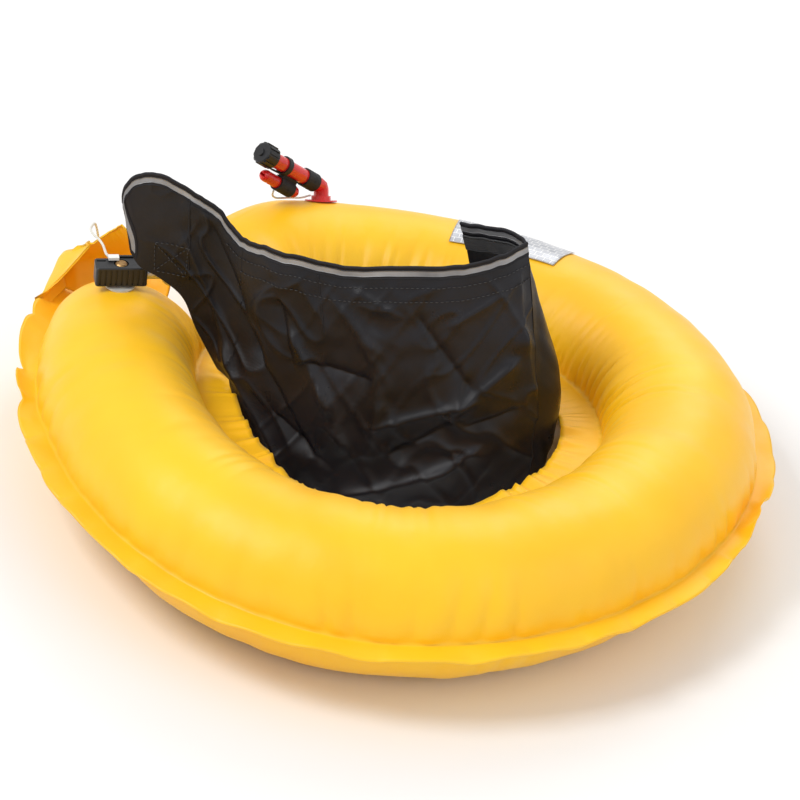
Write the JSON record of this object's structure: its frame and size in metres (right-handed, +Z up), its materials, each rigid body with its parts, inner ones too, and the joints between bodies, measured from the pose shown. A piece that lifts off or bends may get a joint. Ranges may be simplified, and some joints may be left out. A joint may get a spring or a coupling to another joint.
{
  "type": "inflatable belt-pack life ring",
  "caption": "Inflated yellow belt-pack life ring, open at the side, with its gas inflator, oral tube, whistle, reflective patch and unfolded black pouch.",
  "frame": {"origin": "centre of the outline on the surface that the ring lies on", "axes": "+Z up, out of the ring's face; +Y towards the side of the ring with the gap and the oral tube; +X to the wearer's side of the reflective patch"},
  "size_m": [0.6595, 0.6433, 0.2447],
  "materials": {
    "yellow_fabric": "coated nylon, satin",
    "silver_reflective": "retroreflective, fine cell pattern",
    "black_nylon": "coated woven nylon, glossy",
    "grey_reflective": "reflective stripe on binding",
    "hook_and_loop": "fuzzy",
    "black_plastic": "moulded",
    "black_rubber": "moulded",
    "clear_rubber": "clear, soft",
    "brass": "dull",
    "steel": "plated",
    "white_plastic": "moulded",
    "red_plastic": "glossy",
    "white_cord": "braided",
    "yellow_plastic": "moulded"
  },
  "bodies": {
    "ring": {"bladder_top_panel": "yellow_fabric", "bladder_bottom_panel": "yellow_fabric", "bladder_end_tab": "yellow_fabric", "reflective_patch": "silver_reflective", "manifold_stem": "clear_rubber", "lower_gasket": "clear_rubber", "inflator_body": "black_plastic", "upper_gasket": "clear_rubber", "lever_pin": "steel", "piercing_pin": "steel", "pin_spring": "steel", "oral_elbow": "red_plastic", "oral_tube": "red_plastic", "retaining_sleeve": "black_nylon", "valve_seat": "white_plastic", "valve_spring": "steel", "cap_tether": "black_rubber", "whistle_holder": "black_nylon", "wing_anchor_webbing": "black_nylon", "wing_edge_tape": "grey_reflective", "front_edge_tape": "grey_reflective", "end_edge_tape": "grey_reflective", "hook_strip": "hook_and_loop", "loop_strip": "hook_and_loop", "pouch_wing": "black_nylon", "pouch_front_panel": "black_nylon", "pouch_end_panel": "black_nylon", "pull_cord": "white_cord", "pull_handle": "yellow_plastic", "whistle_lanyard": "white_cord"},
    "lever": {"firing_lever": "black_plastic"},
    "cylinder": {"gas_cylinder": "steel"},
    "nut": {"cap_nut": "brass"},
    "clip": {"indicator_clip": "white_plastic"},
    "cap": {"dust_cap": "black_plastic"},
    "poppet": {"valve_poppet": "white_plastic", "poppet_seal": "clear_rubber"},
    "whistle": {"whistle_body": "red_plastic"}
  },
  "joints": [
    {"name": "lever_turn", "type": "hinge", "parent": "ring", "child": "lever", "pos_m": [-0.24006, 0.0529, 0.14397], "axis": [-0.2756, 0.9613, 0], "range_deg": [0, 90]},
    {"name": "cylinder_turn", "type": "hinge", "parent": "ring", "child": "cylinder", "pos_m": [-0.21978, 0.05872, 0.14397], "axis": [0.9613, 0.2756, 0], "continuous": true},
    {"name": "cap_nut_turn", "type": "hinge", "parent": "ring", "child": "nut", "pos_m": [-0.24862, 0.05045, 0.15127], "axis": [0, 0, 1], "continuous": true},
    {"name": "clip_pull", "type": "slide", "parent": "ring", "child": "clip", "axis": [0, 0, 1], "range_m": [0, 0.008]},
    {"name": "dust_cap_pull", "type": "slide", "parent": "ring", "child": "cap", "axis": [-0.6127, -0.5317, 0.5847], "range_m": [0, 0.025]},
    {"name": "poppet_push", "type": "slide", "parent": "ring", "child": "poppet", "axis": [0.6127, 0.5317, -0.5847], "range_m": [0, 0.004], "stiffness_N_per_m": 250, "springref_m": -0.002, "deforming": ["valve_spring"]},
    {"name": "whistle_slide", "type": "slide", "parent": "ring", "child": "whistle", "axis": [-0.6127, -0.5317, 0.5847], "range_m": [0, 0.03]}
  ]
}
